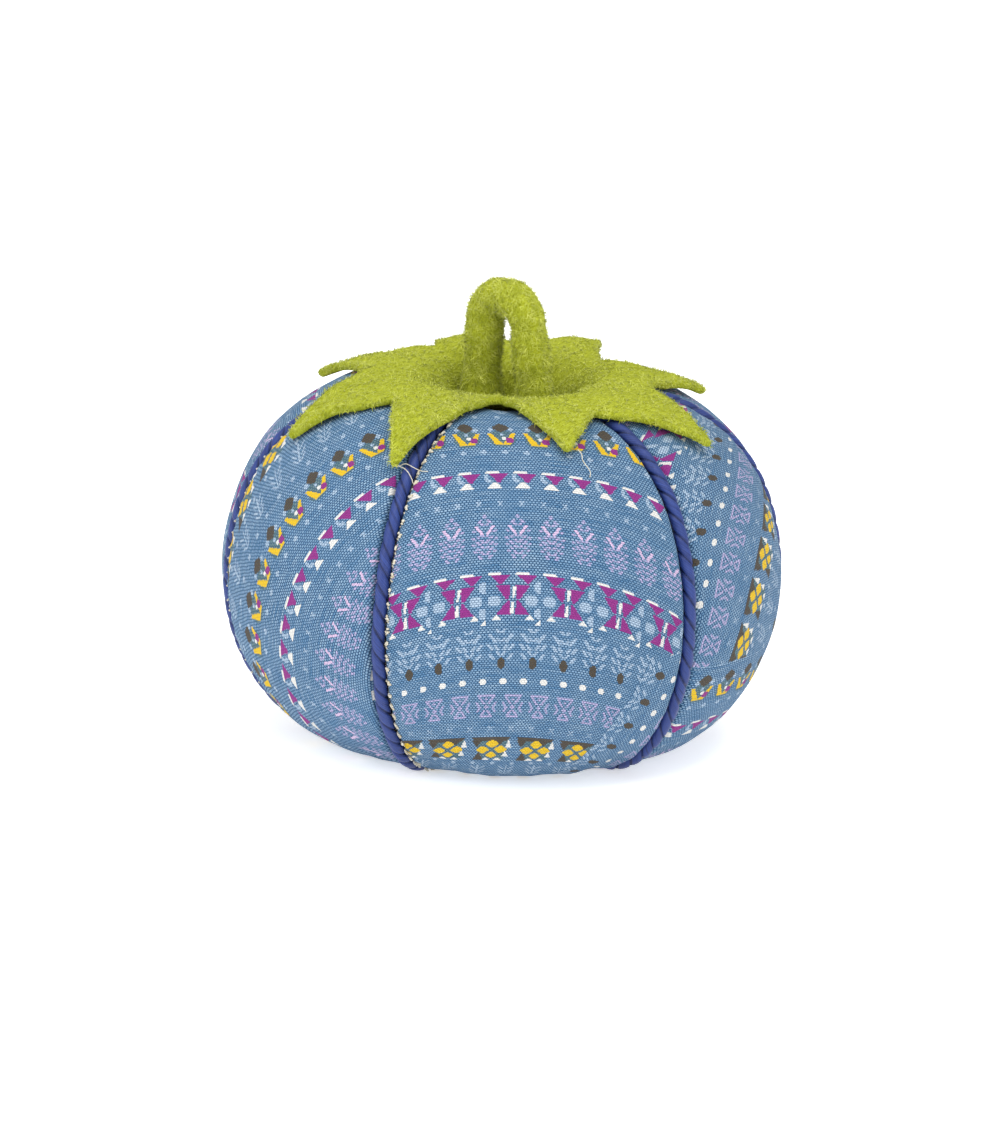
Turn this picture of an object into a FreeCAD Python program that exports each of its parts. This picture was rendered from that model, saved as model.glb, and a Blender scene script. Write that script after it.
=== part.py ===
"""Tomato pin cushion: six padded cotton panels over a firm stuffing, a twisted cord in the groove over
each seam, an eight-leaved felt calyx sunk into the top, and a felt loop that stands in the hollow.

Z is the cushion's axis and points up, and the origin is the centre of the ring that it rests on.
X runs through both feet of the loop, and Y is the way through the loop's eye.
An azimuth is measured from -Y towards +X.
"""
import FreeCAD, Part
import math
import os

os.makedirs("parts", exist_ok=True)

# ---- driving dimensions, millimetres and degrees ----
body_radius = 45.0          # widest, at the equator
equator_height = 26.9
crest_height = 58.1         # top of the rim round the upper hollow
side_radius = 39.2          # upper side, from the equator up
crown_radius = 27.0         # over the shoulder to the crest
low_side_radius = 31.2      # from the equator down
base_radius = 17.0          # round the bottom to the resting ring
mouth_radius = 8.0          # from the crest down into the upper hollow
hollow_radius = 5.6         # from the hollow's wall to its floor
dimple_inner = 3.0          # flat middle of the dimple underneath, where the cords stop
dimple_start = 13.0         # inner edge of the resting ring
dimple_lip_radius = 7.7
dimple_roof_radius = 5.5

cord_azimuths = [-40.5, 14.6, 82.6, 133.0, 195.0, 257.3]   # the seams are not quite evenly spaced
cord_diameter = 2.2
panel_thickness = 3.0       # cotton with the wadding behind it
slot_width = 2.4            # between neighbouring panels, filled by the cord
groove_radius = 4.0         # round gutter pressed into the panels along each cord
groove_lift = 2.6           # height of the gutter's centre over the panels
thread_diameter = 0.5
layer_gap = 0.1             # air between one layer and the next

felt_thickness = 1.4
felt_lift = 0.15            # underside of the calyx over the panels
leaf_count = 8
leaf_tip_radius = 35.4
leaf_notch_radius = 21.7
first_leaf_azimuth = 12.3

overall_height = 75.5
loop_diameter = 6.0         # rolled felt strip
foot_spread = 5.8           # each foot's distance from the axis
arch_radius = 4.6           # centre line over the top of the loop
foot_clearance = 0.35       # under each rounded foot

tie_diameter = 1.2
tie_channel_diameter = 1.8
tie_opening_radius = 2.7    # hole where the panels come together
knot_radius = 2.1
knot_height = 1.8

# ---- values worked out from them ----
z_axis = FreeCAD.Vector(0, 0, 1)
side_centre = body_radius - side_radius
low_side_centre = body_radius - low_side_radius
crest_rise = crest_height - equator_height
crest_radius = side_centre + math.sqrt((side_radius - crown_radius) ** 2 - (crest_rise - crown_radius) ** 2)
shoulder_angle = math.degrees(math.atan2(crest_rise - crown_radius, crest_radius - side_centre))
base_centre = low_side_centre + math.sqrt(
    (low_side_radius - base_radius) ** 2 - (equator_height - base_radius) ** 2)
base_angle = math.degrees(math.atan2(equator_height - base_radius, base_centre - low_side_centre))
hollow_angle = math.degrees(math.asin((crest_radius - foot_spread) / (mouth_radius + hollow_radius)))
hollow_floor = crest_height - (mouth_radius + hollow_radius) * (1 - math.cos(math.radians(hollow_angle)))
dimple_angle = math.degrees(
    math.asin((dimple_start - dimple_inner) / (dimple_lip_radius + dimple_roof_radius)))
dimple_roof = (dimple_lip_radius + dimple_roof_radius) * (1 - math.cos(math.radians(dimple_angle)))
felt_floor = hollow_floor + felt_lift + felt_thickness

# The body's outline from the hollow's floor, over the crest, round the side, to the dimple's roof.
# Each arc is (centre radius, centre height, radius, first angle, last angle, grows), where grows is
# +1 on a rounded part and -1 in a hollow one, so that layers over or under it keep an even distance.
outline = [
    (foot_spread, hollow_floor + hollow_radius, hollow_radius, -90, hollow_angle - 90, -1),
    (crest_radius, crest_height - mouth_radius, mouth_radius, 90 + hollow_angle, 90, 1),
    (crest_radius, crest_height - crown_radius, crown_radius, 90, shoulder_angle, 1),
    (side_centre, equator_height, side_radius, shoulder_angle, 0, 1),
    (low_side_centre, equator_height, low_side_radius, 0, -base_angle, 1),
    (base_centre, base_radius, base_radius, -base_angle, -90, 1),
    (dimple_start, dimple_lip_radius, dimple_lip_radius, -90, -90 - dimple_angle, 1),
    (dimple_inner, dimple_roof - dimple_roof_radius, dimple_roof_radius, 90 - dimple_angle, 90, -1),
]
CREST_ARC = 2
BASE_ARC = 5


def save(shape, node):
    """Write one node, after a look at what was made."""
    print(f"{node}: valid {shape.isValid()}, {len(shape.Solids)} solid(s), {shape.Volume:.1f} mm3")
    shape.exportStep(f"parts/{node}.step")


def meridian_point(centre_r, centre_z, radius, angle):
    """Point of an arc in the XZ plane."""
    turn = math.radians(angle)
    return FreeCAD.Vector(centre_r + radius * math.cos(turn), 0, centre_z + radius * math.sin(turn))


def meridian(offset, first=0, last=len(outline) - 1, start_r=None, end_r=None):
    """Edges of the body's outline moved outwards by offset, from one of its arcs to another.

    start_r and end_r add a level run to that radius before the first and after the last arc.
    """
    edges = []
    pen = None
    for centre_r, centre_z, radius, first_angle, last_angle, grows in outline[first:last + 1]:
        moved = radius + grows * offset
        start = meridian_point(centre_r, centre_z, moved, first_angle)
        middle = meridian_point(centre_r, centre_z, moved, (first_angle + last_angle) / 2)
        end = meridian_point(centre_r, centre_z, moved, last_angle)
        if pen is None and start_r is not None:
            pen = FreeCAD.Vector(start_r, 0, start.z)
        if pen is not None and pen.distanceToPoint(start) > 1e-6:
            edges.append(Part.makeLine(pen, start))
        edges.append(Part.Arc(start, middle, end).toShape())
        pen = end
    if end_r is not None:
        edges.append(Part.makeLine(pen, FreeCAD.Vector(end_r, 0, pen.z)))
    return edges


def turned_body(offset):
    """Solid of the whole cushion, with its surface moved outwards by offset."""
    edges = meridian(offset, start_r=0, end_r=0)
    top = edges[0].Vertexes[0].Point
    bottom = edges[-1].Vertexes[-1].Point
    edges.append(Part.makeLine(bottom, top))
    face = Part.Face(Part.Wire(edges))
    return face.revolve(FreeCAD.Vector(0, 0, 0), z_axis, 360)


def direction(azimuth):
    """Level unit vector at an azimuth from -Y towards +X."""
    turn = math.radians(azimuth)
    return FreeCAD.Vector(math.sin(turn), -math.cos(turn), 0)


def prism(points, bottom, top):
    """Upright prism over a closed outline."""
    base = [FreeCAD.Vector(point.x, point.y, bottom) for point in points]
    face = Part.Face(Part.makePolygon(base + base[:1]))
    return face.extrude(FreeCAD.Vector(0, 0, top - bottom))


def tube_along(edges, radius, azimuth):
    """Round tube along meridian edges, turned to stand at an azimuth."""
    path = Part.Wire(edges)
    start = path.Edges[0]
    tangent = start.tangentAt(start.FirstParameter)
    circle = Part.Wire(Part.makeCircle(radius, start.valueAt(start.FirstParameter), tangent))
    tube = path.makePipeShell([circle], True, False)
    tube.rotate(FreeCAD.Vector(0, 0, 0), z_axis, azimuth - 90)
    return tube


def make_panel(azimuth, next_azimuth, shell, grooves):
    """Padded cotton panel between two cords: a slice of the shell, cut off square at both cords."""
    half_angle = (next_azimuth - azimuth) / 2
    reach = 2 * body_radius
    point = direction(azimuth + half_angle) * (slot_width / 2 / math.sin(math.radians(half_angle)))
    slice_outline = [point, point + direction(azimuth) * reach, point + direction(next_azimuth) * reach]
    panel = shell.common(prism(slice_outline, -1, overall_height))
    return panel.cut(grooves)


def make_cord(azimuth):
    """Twisted cord, flush with the panels, from the tie above over the side to the tie underneath."""
    edges = meridian(-cord_diameter / 2, start_r=dimple_inner)
    return tube_along(edges, cord_diameter / 2, azimuth)


def make_seam_thread(azimuth):
    """Sewing thread of the seam, under the cord."""
    depth = cord_diameter + layer_gap + thread_diameter / 2
    edges = meridian(-depth, start_r=dimple_inner)
    return tube_along(edges, thread_diameter / 2, azimuth)


def make_groove(azimuth):
    """Round gutter that a cord presses into the panels beside it."""
    edges = meridian(groove_lift, CREST_ARC, BASE_ARC, end_r=dimple_start)
    return tube_along(edges, groove_radius, azimuth)


def make_calyx():
    """Felt star that follows the crest and sinks into the hollow."""
    points = []
    for step in range(2 * leaf_count):
        reach = leaf_notch_radius if step % 2 else leaf_tip_radius
        points.append(direction(first_leaf_azimuth + step * 180 / leaf_count) * reach)
    felt = turned_body(felt_lift + felt_thickness).cut(turned_body(felt_lift))
    return felt.common(prism(points, equator_height, overall_height))


def make_loop():
    """Hairpin of rolled felt, standing on two rounded feet in the XZ plane."""
    tube_radius = loop_diameter / 2
    foot_height = felt_floor + foot_clearance + tube_radius
    arch_height = overall_height - tube_radius - arch_radius
    drop = arch_height - foot_height
    lean = math.acos(arch_radius / math.hypot(foot_spread, drop)) - math.atan2(drop, foot_spread)
    right_foot = FreeCAD.Vector(foot_spread, 0, foot_height)
    left_foot = FreeCAD.Vector(-foot_spread, 0, foot_height)
    right_shoulder = FreeCAD.Vector(
        arch_radius * math.cos(lean), 0, arch_height + arch_radius * math.sin(lean))
    left_shoulder = FreeCAD.Vector(-right_shoulder.x, 0, right_shoulder.z)
    top = FreeCAD.Vector(0, 0, arch_height + arch_radius)
    path = Part.Wire([
        Part.makeLine(right_foot, right_shoulder),
        Part.Arc(right_shoulder, top, left_shoulder).toShape(),
        Part.makeLine(left_shoulder, left_foot),
    ])
    circle = Part.Wire(Part.makeCircle(tube_radius, right_foot, right_shoulder - right_foot))
    tube = path.makePipeShell([circle], True, False)
    print(f"loop: feet turn about X at height {foot_height:.3f}, legs lean {math.degrees(lean):.2f} degrees")
    feet = [Part.makeSphere(tube_radius, foot) for foot in (right_foot, left_foot)]
    return tube.fuse(feet).removeSplitter()


def make_tie():
    """Strong thread down the middle that draws both hollows in, with a flat knot at each end."""
    top_knot = hollow_floor - layer_gap - knot_height
    bottom_knot = dimple_roof + layer_gap
    thread = Part.makeCylinder(
        tie_diameter / 2, top_knot + knot_height - bottom_knot, FreeCAD.Vector(0, 0, bottom_knot))
    knots = []
    for height in (top_knot, bottom_knot):
        disc = Part.makeCylinder(knot_radius, knot_height, FreeCAD.Vector(0, 0, height))
        knots.append(disc.makeFillet(knot_height * 0.4, disc.Edges[:1] + disc.Edges[2:]))
    return thread.fuse(knots)


def make_core():
    """Firm stuffing inside the panels, with a channel for the tie."""
    core = turned_body(-panel_thickness - layer_gap)
    channel = Part.makeCylinder(tie_channel_diameter / 2, overall_height)
    return core.cut(channel)


def main():
    save(make_core(), "stuffing_core")
    opening = Part.makeCylinder(tie_opening_radius, overall_height)
    shell = turned_body(0).cut([turned_body(-panel_thickness), opening])
    cords = len(cord_azimuths)
    grooves = [make_groove(azimuth) for azimuth in cord_azimuths]
    for index, azimuth in enumerate(cord_azimuths):
        following = (index + 1) % cords
        next_azimuth = cord_azimuths[following] + (360 if following == 0 else 0)
        panel = make_panel(azimuth, next_azimuth, shell, [grooves[index], grooves[following]])
        save(panel, f"cotton_panel_{index + 1}")
        save(make_cord(azimuth), f"groove_cord_{index + 1}")
        save(make_seam_thread(azimuth), f"seam_thread_{index + 1}")
    save(make_tie(), "centre_tie")
    save(make_calyx(), "felt_calyx")
    save(make_loop(), "felt_loop")


main()
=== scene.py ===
"""Tomato pin cushion: six printed cotton panels puffed out between twisted cords, with a felt calyx
and a standing felt loop. Lengths in the functions are millimetres; meshes are written in metres.
"""
import math

import bpy
import numpy as np
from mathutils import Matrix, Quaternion, Vector


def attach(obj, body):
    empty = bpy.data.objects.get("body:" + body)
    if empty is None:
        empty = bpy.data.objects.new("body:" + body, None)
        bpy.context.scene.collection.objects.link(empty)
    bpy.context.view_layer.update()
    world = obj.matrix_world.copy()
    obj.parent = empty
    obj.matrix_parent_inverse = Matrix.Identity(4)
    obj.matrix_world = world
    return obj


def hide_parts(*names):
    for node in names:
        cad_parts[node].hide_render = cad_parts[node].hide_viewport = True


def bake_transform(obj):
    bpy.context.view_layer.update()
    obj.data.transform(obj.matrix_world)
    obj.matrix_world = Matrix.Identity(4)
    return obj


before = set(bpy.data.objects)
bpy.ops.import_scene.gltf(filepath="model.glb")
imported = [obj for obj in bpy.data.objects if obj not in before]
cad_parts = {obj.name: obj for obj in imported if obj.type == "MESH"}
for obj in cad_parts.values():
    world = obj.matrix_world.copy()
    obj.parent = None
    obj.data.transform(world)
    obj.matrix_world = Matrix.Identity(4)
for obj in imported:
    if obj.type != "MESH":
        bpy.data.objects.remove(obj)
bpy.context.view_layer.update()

MILLIMETRE = 0.001
TURN = 2 * math.pi
MAP_SCALE = 100.0

# ---- the cushion's outline ----
CORD_AZIMUTHS = (-40.5, 14.6, 82.6, 133.0, 195.0, 257.3)
BODY_RADIUS = 45.0
EQUATOR_HEIGHT = 26.9
CREST_HEIGHT = 58.1
SIDE_RADIUS = 39.2
CROWN_RADIUS = 27.0
LOW_SIDE_RADIUS = 31.2
BASE_RADIUS = 17.0
MOUTH_RADIUS = 8.0
HOLLOW_RADIUS = 5.6
DIMPLE_INNER = 3.0
DIMPLE_START = 13.0
DIMPLE_LIP_RADIUS = 7.7
DIMPLE_ROOF_RADIUS = 5.5
CORD_RADIUS = 1.1
CORD_PITCH = 6.8
SEAM_DEPTH = 2.35
PANEL_DEPTH = 2.95
FLOOR_RADIUS = 5.8
STITCH_PITCH = 2.2
FIRST_STITCH = 19.0
THREAD_FLOOR = 0.25
FELT_THICKNESS = 1.4


def outline_parts():
    """Work out each arc of the outline from its neighbours, so that they meet without a kink."""
    side_centre = BODY_RADIUS - SIDE_RADIUS
    low_centre = BODY_RADIUS - LOW_SIDE_RADIUS
    rise = CREST_HEIGHT - EQUATOR_HEIGHT - CROWN_RADIUS
    crest_r = side_centre + math.sqrt((SIDE_RADIUS - CROWN_RADIUS) ** 2 - rise ** 2)
    shoulder = math.degrees(math.atan2(rise, crest_r - side_centre))
    drop = EQUATOR_HEIGHT - BASE_RADIUS
    base_r = low_centre + math.sqrt((LOW_SIDE_RADIUS - BASE_RADIUS) ** 2 - drop ** 2)
    base = math.degrees(math.atan2(drop, base_r - low_centre))
    bend = MOUTH_RADIUS + HOLLOW_RADIUS
    hollow = math.degrees(math.asin((crest_r - FLOOR_RADIUS) / bend))
    floor = CREST_HEIGHT - bend * (1 - math.cos(math.radians(hollow)))
    pucker = DIMPLE_LIP_RADIUS + DIMPLE_ROOF_RADIUS
    dimple = math.degrees(math.asin((DIMPLE_START - DIMPLE_INNER) / pucker))
    roof = pucker * (1 - math.cos(math.radians(dimple)))
    return (
        (FLOOR_RADIUS, floor + HOLLOW_RADIUS, HOLLOW_RADIUS, -90, hollow - 90, -1),
        (crest_r, CREST_HEIGHT - MOUTH_RADIUS, MOUTH_RADIUS, 90 + hollow, 90, 1),
        (crest_r, CREST_HEIGHT - CROWN_RADIUS, CROWN_RADIUS, 90, shoulder, 1),
        (side_centre, EQUATOR_HEIGHT, SIDE_RADIUS, shoulder, 0, 1),
        (low_centre, EQUATOR_HEIGHT, LOW_SIDE_RADIUS, 0, -base, 1),
        (base_r, BASE_RADIUS, BASE_RADIUS, -base, -90, 1),
        (DIMPLE_START, DIMPLE_LIP_RADIUS, DIMPLE_LIP_RADIUS, -90, -90 - dimple, 1),
        (DIMPLE_INNER, roof - DIMPLE_ROOF_RADIUS, DIMPLE_ROOF_RADIUS, 90 - dimple, 90, -1),
    )


def outline_table(step=0.1):
    """Length, radius, height and outward normal at even steps along the outline, by walking its arcs.

    Where one arc ends short of the next, a level run joins them.
    """
    rows = []
    start = 0.0
    pen = None
    for centre_r, centre_z, radius, first, last, grows in outline_parts():
        length = radius * math.radians(abs(last - first))
        along = np.linspace(0, 1, max(int(length / step), 2))
        turn = np.radians(first + (last - first) * along)
        out_r, out_z = centre_r + radius * np.cos(turn), centre_z + radius * np.sin(turn)
        if pen is not None:
            start += abs(out_r[0] - pen)
        pen = out_r[-1]
        rows.append(np.stack([start + along * length, out_r, out_z,
                              grows * np.cos(turn), grows * np.sin(turn)], axis=1))
        start += length
    return np.concatenate(rows)


TABLE = outline_table()
FULL_LENGTH = TABLE[-1, 0]
TOP_TABLE = TABLE[:int(TABLE[:, 1].argmax())]


def on_outline(along, offset=0.0):
    """Radius and height at an arc length, moved outwards by offset along the normal.

    A length below 0 runs level over the hollow's floor towards the axis.
    """
    flat = np.minimum(along, 0)
    inside = np.clip(along, 0, FULL_LENGTH)
    radius, height, normal_r, normal_z = (
        np.interp(inside, TABLE[:, 0], TABLE[:, column]) for column in (1, 2, 3, 4))
    return radius + flat + offset * normal_r, height + offset * normal_z


def place(azimuth, radius, height):
    """Points in the frame from azimuth in degrees (from -Y towards +X), radius and height."""
    turn = np.radians(azimuth)
    return np.stack(np.broadcast_arrays(radius * np.sin(turn), -radius * np.cos(turn), height), axis=-1)


def smooth(low, high, value):
    """Soft step from 0 at low to 1 at high."""
    part = np.clip((value - low) / (high - low), 0, 1)
    return part * part * (3 - 2 * part)


def level_axis(azimuth):
    """Level direction at an azimuth in degrees, square to the outline and towards larger azimuths."""
    turn = math.radians(azimuth)
    return np.array([math.cos(turn), math.sin(turn), 0.0])


def grid_faces(rows, columns, wrap_columns=False, first=0):
    """Four-sided faces of a grid of points numbered row by row."""
    column_end = columns if wrap_columns else columns - 1
    row, column = np.meshgrid(np.arange(rows - 1), np.arange(column_end), indexing="ij")
    next_column = (column + 1) % columns
    corners = [row * columns + column, (row + 1) * columns + column,
               (row + 1) * columns + next_column, row * columns + next_column]
    return first + np.stack(corners, axis=-1).reshape(-1, 4)


def tube_faces(rows, sides, first=0):
    """Faces of a tube of point rings, with a flat face on each end."""
    ring = np.arange(sides)[None, :] + first
    return [grid_faces(rows, sides, wrap_columns=True, first=first), ring,
            ring[:, ::-1] + (rows - 1) * sides]


def poled_faces(rows, columns):
    """Faces of a closed skin of point rings, with a pole at each end numbered after all the rings."""
    ring = np.arange(columns)
    ahead = (ring + 1) % columns
    count = rows * columns
    last = count - columns
    top = np.stack([np.full(columns, count), ring, ahead], axis=1)
    bottom = np.stack([np.full(columns, count + 1), last + ahead, last + ring], axis=1)
    return [grid_faces(rows, columns, wrap_columns=True), top, bottom]


def new_mesh(name, points, faces, is_smooth=True):
    """Object from points in millimetres and faces as a list of arrays."""
    listed = [face for block in faces for face in np.asarray(block).tolist()]
    mesh = bpy.data.meshes.new(name)
    mesh.from_pydata((np.asarray(points).reshape(-1, 3) * MILLIMETRE).tolist(), [], listed)
    mesh.polygons.foreach_set("use_smooth", [is_smooth] * len(mesh.polygons))
    mesh.update()
    obj = bpy.data.objects.new(name, mesh)
    bpy.context.scene.collection.objects.link(obj)
    return obj


def write_map(obj, name, values):
    """UV map from one (u, v) pair for each vertex."""
    layer = obj.data.uv_layers.new(name=name)
    corner = np.empty(len(obj.data.loops), dtype=np.int32)
    obj.data.loops.foreach_get("vertex_index", corner)
    layer.data.foreach_set("uv", np.asarray(values, dtype=np.float32).reshape(-1, 2)[corner].ravel())


def write_value(obj, name, values):
    """Number for each vertex, for a material to read."""
    layer = obj.data.attributes.new(name, "FLOAT", "POINT")
    layer.data.foreach_set("value", np.asarray(values, dtype=np.float32).ravel())


# ---- node helpers ----
LIGHT_SHARE = 0.66


def shade(red, green, blue):
    """Linear colour from the usual 0 to 255 values as they look under the studio's strong light."""
    part = np.array([red, green, blue]) / 255
    linear = np.where(part <= 0.04045, part / 12.92, ((part + 0.055) / 1.055) ** 2.4)
    return (*(linear * LIGHT_SHARE).tolist(), 1.0)


def feed(tree, socket, value):
    """Link a socket to a value that is another socket, or set it."""
    if isinstance(value, bpy.types.NodeSocket):
        tree.links.new(value, socket)
    elif value is not None:
        socket.default_value = value


def add_node(tree, kind, inputs=None, **settings):
    """New node with its settings and inputs given by name or place."""
    node = tree.nodes.new(kind)
    for name, value in settings.items():
        setattr(node, name, value)
    for name, value in (inputs or {}).items():
        feed(tree, node.inputs[name], value)
    return node


def calc(tree, operation, *terms):
    """Output of a Math node."""
    return add_node(tree, "ShaderNodeMath", dict(enumerate(terms)), operation=operation).outputs[0]


def read_value(tree, name):
    """Number written on a mesh by write_value."""
    return add_node(tree, "ShaderNodeAttribute", attribute_name=name).outputs["Fac"]


def read_map(tree, name):
    """Outputs with the two numbers of a UV map."""
    uv = add_node(tree, "ShaderNodeUVMap", uv_map=name)
    return add_node(tree, "ShaderNodeSeparateXYZ", {0: uv.outputs[0]}).outputs


def vector(tree, *parts):
    """Output of a node that puts X, Y and Z together."""
    return add_node(tree, "ShaderNodeCombineXYZ", dict(enumerate(parts))).outputs[0]


def mix_number(tree, amount, first, second):
    """Output of a mix of two numbers."""
    return add_node(tree, "ShaderNodeMix", {0: amount, 2: first, 3: second}).outputs[0]


def on_body(tree):
    """The piece's own coordinates, in metres."""
    return add_node(tree, "ShaderNodeTexCoord").outputs["Object"]


def mix_colour(tree, amount, first, second):
    """Output of a colour mix."""
    node = add_node(tree, "ShaderNodeMix", data_type="RGBA", blend_type="MIX")
    for place_number, value in ((0, amount), (6, first), (7, second)):
        feed(tree, node.inputs[place_number], value)
    return node.outputs[2]


def remap(tree, value, low, high, to_low=0.0, to_high=1.0):
    """Value moved from one range to another and held inside it."""
    terms = (value, low, high, to_low, to_high)
    return add_node(tree, "ShaderNodeMapRange", dict(enumerate(terms))).outputs[0]


def noise(tree, place_in, scale, detail=2.0, roughness=0.5):
    """Noise over a vector, about 0.5."""
    node = add_node(tree, "ShaderNodeTexNoise",
                    {"Vector": place_in, "Scale": scale, "Detail": detail, "Roughness": roughness})
    return node.outputs["Fac"]


def new_group(name, inputs, outputs):
    """Node group with number, vector or colour sockets: (name, kind, starting value)."""
    tree = bpy.data.node_groups.new(name, "ShaderNodeTree")
    kinds = {"number": "NodeSocketFloat", "vector": "NodeSocketVector", "colour": "NodeSocketColor"}
    for label, kind, start in inputs:
        socket = tree.interface.new_socket(label, in_out="INPUT", socket_type=kinds[kind])
        if start is not None:
            socket.default_value = start
    for label, kind in outputs:
        tree.interface.new_socket(label, in_out="OUTPUT", socket_type=kinds[kind])
    given = tree.nodes.new("NodeGroupInput")
    result = tree.nodes.new("NodeGroupOutput")
    return tree, given.outputs, result.inputs


def use_group(tree, group, inputs):
    """A group placed in a material or in another group."""
    node = tree.nodes.new("ShaderNodeGroup")
    node.node_tree = group
    for name, value in inputs.items():
        feed(tree, node.inputs[name], value)
    return node.outputs


def new_material(name, **constants):
    """Material with its Principled shader, with constant values set on the shader's own sockets."""
    material = bpy.data.materials.new(name)
    material.use_nodes = True
    tree = material.node_tree
    shader = tree.nodes["Principled BSDF"]
    for label, value in constants.items():
        shader.inputs[label.replace("_", " ")].default_value = value
    return material, tree, shader


def bump(tree, shader, height, distance, strength=1.0):
    """Bump height in millimetres."""
    node = add_node(tree, "ShaderNodeBump",
                    {"Height": height, "Distance": distance * MILLIMETRE, "Strength": strength})
    tree.links.new(node.outputs[0], shader.inputs["Normal"])


# ---- shared effects ----

def make_block_stamp():
    """Mask of a flat-topped triangle: |x - lean y| below a half width that runs from above to below."""
    tree, given, result = new_group(
        "block_stamp",
        [(label, "number", 0.0) for label in ("X", "Y", "Across", "Down", "Above", "Below", "Half", "Lean")],
        [("Mask", "number")])
    down = calc(tree, "SUBTRACT", given["Y"], given["Down"])
    across = calc(tree, "SUBTRACT", given["X"], given["Across"])
    shift = calc(tree, "MULTIPLY", down, given["Lean"])
    leaned = calc(tree, "ABSOLUTE", calc(tree, "SUBTRACT", across, shift))
    run = calc(tree, "MULTIPLY_ADD", calc(tree, "DIVIDE", down, given["Half"]), 0.5, 0.5)
    widening = calc(tree, "SUBTRACT", given["Below"], given["Above"])
    width = calc(tree, "MULTIPLY_ADD", run, widening, given["Above"])
    inside = calc(tree, "LESS_THAN", leaned, width)
    level = calc(tree, "LESS_THAN", calc(tree, "ABSOLUTE", down), given["Half"])
    feed(tree, result["Mask"], calc(tree, "MULTIPLY", inside, level))
    return tree


def make_round_stamp():
    """Mask of |x/w|^p + |y/h|^p below 1: a diamond at p 1, an ellipse at 2 and a soft square at 4."""
    tree, given, result = new_group(
        "round_stamp",
        [(label, "number", 0.0) for label in ("X", "Y", "Across", "Down", "Wide", "High", "Power")],
        [("Mask", "number")])
    terms = []
    for value, centre, size in (("X", "Across", "Wide"), ("Y", "Down", "High")):
        away = calc(tree, "ABSOLUTE", calc(tree, "SUBTRACT", given[value], given[centre]))
        terms.append(calc(tree, "POWER", calc(tree, "DIVIDE", away, given[size]), given["Power"]))
    feed(tree, result["Mask"], calc(tree, "LESS_THAN", calc(tree, "ADD", *terms), 1.0))
    return tree


FLOAT_PITCH = 0.56
ROW_PITCH = 0.36
WANDER = 0.8


def make_weave():
    """Plain weave: each weft float is a rounded dash, and every second row of dashes is half a pitch along.

    Height is |sin pi x|^0.5 |sin pi y|^0.8 in pitches, with the threads wandering a little from straight.
    """
    tree, given, result = new_group(
        "plain_weave",
        [(label, "number", start)
         for label, start in (("X", 0.0), ("Y", 0.0), ("Pitch X", FLOAT_PITCH), ("Pitch Y", ROW_PITCH))],
        [("Height", "number"), ("Thread", "number"), ("Gap", "number"), ("Float", "number")])
    slow_x, slow_y = (calc(tree, "MULTIPLY", given[axis], 0.12) for axis in ("X", "Y"))
    wander_x, wander_y = (
        calc(tree, "MULTIPLY_ADD", noise(tree, vector(tree, *seat), 0.8, 1.0), WANDER, -WANDER / 2)
        for seat in ((given["X"], slow_y), (slow_x, given["Y"])))
    count_y = calc(tree, "ADD", calc(tree, "DIVIDE", given["Y"], given["Pitch Y"]), wander_y)
    row = calc(tree, "FLOOR", count_y)
    half_step = calc(tree, "MULTIPLY", calc(tree, "FLOORED_MODULO", row, 2.0), 0.5)
    straight_x = calc(tree, "DIVIDE", given["X"], given["Pitch X"])
    count_x = calc(tree, "ADD", calc(tree, "ADD", straight_x, wander_x), half_step)
    crown_x, crown_y = (
        calc(tree, "ABSOLUTE", calc(tree, "SINE", calc(tree, "MULTIPLY", count, math.pi)))
        for count in (count_x, count_y))
    height = calc(tree, "MULTIPLY", calc(tree, "POWER", crown_x, 0.5), calc(tree, "POWER", crown_y, 0.8))
    seat_row = vector(tree, calc(tree, "MULTIPLY", count_x, 0.1), row, 9.0)
    seat_dash = vector(tree, calc(tree, "FLOOR", count_x), row)
    dash = add_node(tree, "ShaderNodeTexWhiteNoise", {"Vector": seat_dash}).outputs["Value"]
    slub = calc(tree, "MULTIPLY", noise(tree, seat_row, 1.0, 1.0), 0.86)
    thread = calc(tree, "MULTIPLY_ADD", dash, 0.14, slub)
    feed(tree, result["Height"], height)
    feed(tree, result["Thread"], thread)
    feed(tree, result["Gap"], remap(tree, height, 0.25, 0.75, 1.0, 0.0))
    feed(tree, result["Float"], remap(tree, crown_x, 0.25, 0.6))
    return tree


def make_felting():
    """Matted fibre: fine crossing streaks and soft clouds, and a height for them."""
    tree, given, result = new_group(
        "matted_fibre", [("Vector", "vector", None), ("Fineness", "number", 1.0)],
        [("Fibre", "number"), ("Cloud", "number"), ("Height", "number")])
    bent = add_node(tree, "ShaderNodeVectorMath", {0: given["Vector"], "Scale": given["Fineness"]},
                    operation="SCALE")
    streaks = []
    for turn in ((0.3, 0.1, 0.4), (1.2, 0.8, 2.0), (2.1, 1.9, 1.1)):
        mapping = add_node(tree, "ShaderNodeMapping",
                           {"Vector": bent.outputs[0], "Rotation": turn, "Scale": (4200.0, 900.0, 1500.0)})
        streaks.append(noise(tree, mapping.outputs[0], 1.0, 2.0, 0.6))
    most = calc(tree, "MAXIMUM", calc(tree, "MAXIMUM", streaks[0], streaks[1]), streaks[2])
    feed(tree, result["Fibre"], remap(tree, most, 0.42, 0.74))
    feed(tree, result["Cloud"], noise(tree, bent.outputs[0], 260.0, 4.0, 0.6))
    feed(tree, result["Height"], most)
    return tree


BLOCK_STAMP = make_block_stamp()
ROUND_STAMP = make_round_stamp()
PLAIN_WEAVE = make_weave()
MATTED_FIBRE = make_felting()

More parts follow.
